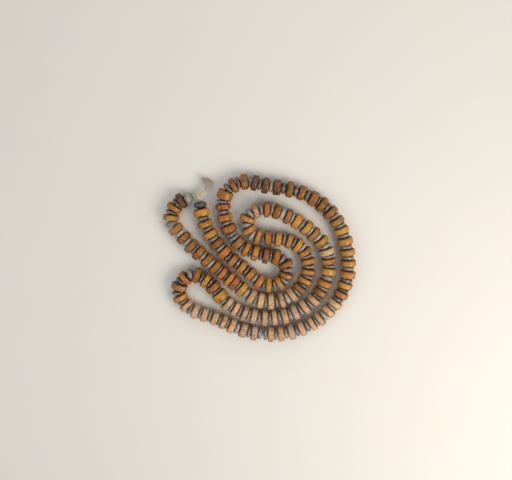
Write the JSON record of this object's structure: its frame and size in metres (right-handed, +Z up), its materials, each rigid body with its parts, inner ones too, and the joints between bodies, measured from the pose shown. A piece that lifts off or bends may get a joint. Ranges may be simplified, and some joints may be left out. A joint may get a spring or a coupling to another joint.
{
  "type": "mala prayer beads",
  "caption": "Closed strand of worn bone disc beads and small grey stone spacers on a knotted cotton cord, laid flat in folded rows.",
  "frame": {"origin": "on the surface it lies on, under the middle of the laid strand's bounding box", "axes": "+Z up, square to the surface; +Y towards the row of the strand that the knot end lies beside; +X along the longest row"},
  "size_m": [0.1123, 0.1006, 0.0098],
  "materials": {
    "bone_disc": "worn and polished by handling",
    "grey_stone": "dull, mottled",
    "light_stone": "dull, mottled",
    "dark_stone": "dull, mottled",
    "cotton_cord": "twisted two-ply cotton",
    "cotton_fray": "frayed cotton"
  },
  "bodies": {
    "strand": {"cord": "cotton_cord", "knot": "cotton_cord", "discs_middle_fold": "bone_disc", "discs_left_loop": "bone_disc", "discs_bottom_row": "bone_disc", "discs_top_arc": "bone_disc", "discs_inner_coil": "bone_disc", "spacers_first_run": "grey_stone", "spacers_middle_fold": "grey_stone", "spacers_inner_arc": "grey_stone", "spacers_left_loop": "grey_stone", "spacers_bottom_row": "grey_stone", "spacers_top_arc": "grey_stone", "spacers_inner_coil": "grey_stone", "spacers_last_run": "grey_stone"},
    "disc_001": {"disc_001": "bone_disc"},
    "disc_002": {"disc_002": "bone_disc"},
    "disc_003": {"disc_003": "bone_disc"},
    "disc_004": {"disc_004": "bone_disc"},
    "disc_005": {"disc_005": "bone_disc"},
    "disc_006": {"disc_006": "bone_disc"},
    "disc_007": {"disc_007": "bone_disc"},
    "disc_008": {"disc_008": "bone_disc"},
    "disc_009": {"disc_009": "bone_disc"},
    "disc_010": {"disc_010": "bone_disc"},
    "disc_011": {"disc_011": "bone_disc"},
    "disc_012": {"disc_012": "bone_disc"},
    "disc_013": {"disc_013": "bone_disc"},
    "disc_014": {"disc_014": "bone_disc"},
    "disc_015": {"disc_015": "bone_disc"},
    "disc_016": {"disc_016": "bone_disc"},
    "disc_017": {"disc_017": "bone_disc"},
    "disc_033": {"disc_033": "bone_disc"},
    "disc_034": {"disc_034": "bone_disc"},
    "disc_035": {"disc_035": "bone_disc"},
    "disc_036": {"disc_036": "bone_disc"},
    "disc_037": {"disc_037": "bone_disc"},
    "disc_038": {"disc_038": "bone_disc"},
    "disc_039": {"disc_039": "bone_disc"},
    "disc_040": {"disc_040": "bone_disc"},
    "disc_041": {"disc_041": "bone_disc"},
    "disc_042": {"disc_042": "bone_disc"},
    "disc_043": {"disc_043": "bone_disc"},
    "disc_044": {"disc_044": "bone_disc"},
    "disc_045": {"disc_045": "bone_disc"},
    "disc_046": {"disc_046": "bone_disc"},
    "disc_047": {"disc_047": "bone_disc"},
    "disc_048": {"disc_048": "bone_disc"},
    "disc_108": {"disc_108": "bone_disc"},
    "disc_109": {"disc_109": "bone_disc"},
    "disc_110": {"disc_110": "bone_disc"},
    "disc_111": {"disc_111": "bone_disc"},
    "disc_112": {"disc_112": "bone_disc"},
    "disc_113": {"disc_113": "bone_disc"},
    "disc_114": {"disc_114": "bone_disc"},
    "disc_115": {"disc_115": "bone_disc"},
    "disc_116": {"disc_116": "bone_disc"},
    "light_end_bead": {"light_end_bead": "light_stone"},
    "dark_end_bead": {"dark_end_bead": "dark_stone"},
    "tuft": {"tuft": "cotton_fray"}
  },
  "joints": [
    {"name": "disc_001_spin", "type": "hinge", "parent": "strand", "child": "disc_001", "pos_m": [-0.04515, 0.03466, 0.0048], "axis": [-0.8463, -0.5326, 0], "continuous": true},
    {"name": "disc_002_spin", "type": "hinge", "parent": "strand", "child": "disc_002", "pos_m": [-0.04931, 0.03072, 0.00466], "axis": [-0.538, -0.843, 0], "continuous": true},
    {"name": "disc_003_spin", "type": "hinge", "parent": "strand", "child": "disc_003", "pos_m": [-0.05121, 0.02522, 0.00488], "axis": [-0.0854, -0.9963, 0], "continuous": true},
    {"name": "disc_004_spin", "type": "hinge", "parent": "strand", "child": "disc_004", "pos_m": [-0.04876, 0.01825, 0.00463], "axis": [0.6356, -0.772, 0], "continuous": true},
    {"name": "disc_005_spin", "type": "hinge", "parent": "strand", "child": "disc_005", "pos_m": [-0.04443, 0.01325, 0.00467], "axis": [0.6306, -0.7761, 0], "continuous": true},
    {"name": "disc_006_spin", "type": "hinge", "parent": "strand", "child": "disc_006", "pos_m": [-0.04008, 0.00844, 0.00487], "axis": [0.7051, -0.7091, 0], "continuous": true},
    {"name": "disc_007_spin", "type": "hinge", "parent": "strand", "child": "disc_007", "pos_m": [-0.03584, 0.00441, 0.00485], "axis": [0.7365, -0.6765, 0], "continuous": true},
    {"name": "disc_008_spin", "type": "hinge", "parent": "strand", "child": "disc_008", "pos_m": [-0.03113, 0.00009, 0.00463], "axis": [0.7357, -0.6774, 0], "continuous": true},
    {"name": "disc_009_spin", "type": "hinge", "parent": "strand", "child": "disc_009", "pos_m": [-0.02642, -0.00422, 0.00487], "axis": [0.7434, -0.6688, 0], "continuous": true},
    {"name": "disc_010_spin", "type": "hinge", "parent": "strand", "child": "disc_010", "pos_m": [-0.02225, -0.00789, 0.00481], "axis": [0.7569, -0.6535, 0], "continuous": true},
    {"name": "disc_011_spin", "type": "hinge", "parent": "strand", "child": "disc_011", "pos_m": [-0.01818, -0.01131, 0.00475], "axis": [0.7745, -0.6325, 0], "continuous": true},
    {"name": "disc_012_spin", "type": "hinge", "parent": "strand", "child": "disc_012", "pos_m": [-0.01532, -0.01362, 0.00484], "axis": [0.7723, -0.6352, 0], "continuous": true},
    {"name": "disc_013_spin", "type": "hinge", "parent": "strand", "child": "disc_013", "pos_m": [-0.01093, -0.01747, 0.00478], "axis": [0.739, -0.6737, 0], "continuous": true},
    {"name": "disc_014_spin", "type": "hinge", "parent": "strand", "child": "disc_014", "pos_m": [-0.00533, -0.02198, 0.00482], "axis": [0.8363, -0.5483, 0], "continuous": true},
    {"name": "disc_015_spin", "type": "hinge", "parent": "strand", "child": "disc_015", "pos_m": [0.00029, -0.0244, 0.0048], "axis": [0.9719, -0.2355, 0], "continuous": true},
    {"name": "disc_016_spin", "type": "hinge", "parent": "strand", "child": "disc_016", "pos_m": [0.00635, -0.02505, 0.00489], "axis": [0.9999, 0.0101, 0], "continuous": true},
    {"name": "disc_017_spin", "type": "hinge", "parent": "strand", "child": "disc_017", "pos_m": [0.01276, -0.02399, 0.0049], "axis": [0.9484, 0.3172, 0], "continuous": true},
    {"name": "disc_033_spin", "type": "hinge", "parent": "strand", "child": "disc_033", "pos_m": [0.00952, 0.02843, 0.00462], "axis": [0.9406, -0.3396, 0], "continuous": true},
    {"name": "disc_034_spin", "type": "hinge", "parent": "strand", "child": "disc_034", "pos_m": [0.01581, 0.0257, 0.00475], "axis": [0.9051, -0.4251, 0], "continuous": true},
    {"name": "disc_035_spin", "type": "hinge", "parent": "strand", "child": "disc_035", "pos_m": [0.02101, 0.02294, 0.00474], "axis": [0.8545, -0.5195, 0], "continuous": true},
    {"name": "disc_036_spin", "type": "hinge", "parent": "strand", "child": "disc_036", "pos_m": [0.02655, 0.01906, 0.0048], "axis": [0.7841, -0.6207, 0], "continuous": true},
    {"name": "disc_037_spin", "type": "hinge", "parent": "strand", "child": "disc_037", "pos_m": [0.03081, 0.01544, 0.00475], "axis": [0.7494, -0.6621, 0], "continuous": true},
    {"name": "disc_038_spin", "type": "hinge", "parent": "strand", "child": "disc_038", "pos_m": [0.03531, 0.01097, 0.00473], "axis": [0.641, -0.7675, 0], "continuous": true},
    {"name": "disc_039_spin", "type": "hinge", "parent": "strand", "child": "disc_039", "pos_m": [0.03867, 0.00512, 0.00472], "axis": [0.3379, -0.9412, 0], "continuous": true},
    {"name": "disc_040_spin", "type": "hinge", "parent": "strand", "child": "disc_040", "pos_m": [0.0399, -0.00056, 0.00461], "axis": [0.0978, -0.9952, 0], "continuous": true},
    {"name": "disc_041_spin", "type": "hinge", "parent": "strand", "child": "disc_041", "pos_m": [0.03982, -0.00658, 0.00466], "axis": [-0.1141, -0.9935, 0], "continuous": true},
    {"name": "disc_042_spin", "type": "hinge", "parent": "strand", "child": "disc_042", "pos_m": [0.03806, -0.0139, 0.00474], "axis": [-0.364, -0.9314, 0], "continuous": true},
    {"name": "disc_043_spin", "type": "hinge", "parent": "strand", "child": "disc_043", "pos_m": [0.03529, -0.01923, 0.00461], "axis": [-0.5427, -0.8399, 0], "continuous": true},
    {"name": "disc_044_spin", "type": "hinge", "parent": "strand", "child": "disc_044", "pos_m": [0.0316, -0.02394, 0.0046], "axis": [-0.6812, -0.7321, 0], "continuous": true},
    {"name": "disc_045_spin", "type": "hinge", "parent": "strand", "child": "disc_045", "pos_m": [0.02663, -0.0283, 0.00488], "axis": [-0.8189, -0.574, 0], "continuous": true},
    {"name": "disc_046_spin", "type": "hinge", "parent": "strand", "child": "disc_046", "pos_m": [0.02091, -0.03157, 0.0048], "axis": [-0.9106, -0.4132, 0], "continuous": true},
    {"name": "disc_047_spin", "type": "hinge", "parent": "strand", "child": "disc_047", "pos_m": [0.01474, -0.03381, 0.0049], "axis": [-0.9635, -0.2676, 0], "continuous": true},
    {"name": "disc_048_spin", "type": "hinge", "parent": "strand", "child": "disc_048", "pos_m": [0.00855, -0.03501, 0.00474], "axis": [-0.994, -0.1098, 0], "continuous": true},
    {"name": "disc_108_spin", "type": "hinge", "parent": "strand", "child": "disc_108", "pos_m": [-0.00074, -0.01283, 0.00464], "axis": [-0.8205, 0.5716, 0], "continuous": true},
    {"name": "disc_109_spin", "type": "hinge", "parent": "strand", "child": "disc_109", "pos_m": [-0.00579, -0.00837, 0.00462], "axis": [-0.7337, 0.6795, 0], "continuous": true},
    {"name": "disc_110_spin", "type": "hinge", "parent": "strand", "child": "disc_110", "pos_m": [-0.01093, -0.00426, 0.00473], "axis": [-0.7997, 0.6004, 0], "continuous": true},
    {"name": "disc_111_spin", "type": "hinge", "parent": "strand", "child": "disc_111", "pos_m": [-0.01607, -0.0002, 0.00476], "axis": [-0.7587, 0.6515, 0], "continuous": true},
    {"name": "disc_112_spin", "type": "hinge", "parent": "strand", "child": "disc_112", "pos_m": [-0.02099, 0.00458, 0.00469], "axis": [-0.6792, 0.7339, 0], "continuous": true},
    {"name": "disc_113_spin", "type": "hinge", "parent": "strand", "child": "disc_113", "pos_m": [-0.02541, 0.00983, 0.00488], "axis": [-0.6072, 0.7945, 0], "continuous": true},
    {"name": "disc_114_spin", "type": "hinge", "parent": "strand", "child": "disc_114", "pos_m": [-0.02907, 0.01536, 0.00483], "axis": [-0.4883, 0.8727, 0], "continuous": true},
    {"name": "disc_115_spin", "type": "hinge", "parent": "strand", "child": "disc_115", "pos_m": [-0.03187, 0.02141, 0.00469], "axis": [-0.3465, 0.938, 0], "continuous": true},
    {"name": "disc_116_spin", "type": "hinge", "parent": "strand", "child": "disc_116", "pos_m": [-0.03378, 0.02806, 0.00481], "axis": [-0.2054, 0.9787, 0], "continuous": true},
    {"name": "light_end_bead_spin", "type": "hinge", "parent": "strand", "child": "light_end_bead", "pos_m": [-0.04138, 0.03655, 0.00475], "axis": [-0.9368, -0.3498, 0], "continuous": true},
    {"name": "dark_end_bead_spin", "type": "hinge", "parent": "strand", "child": "dark_end_bead", "pos_m": [-0.03447, 0.03225, 0.00475], "axis": [-0.1171, 0.9931, 0], "continuous": true},
    {"name": "tuft_swing", "type": "hinge", "parent": "strand", "child": "tuft", "pos_m": [-0.03301, 0.04031, 0.00475], "axis": [0, 0, 1], "range_deg": [-20, 20]}
  ]
}
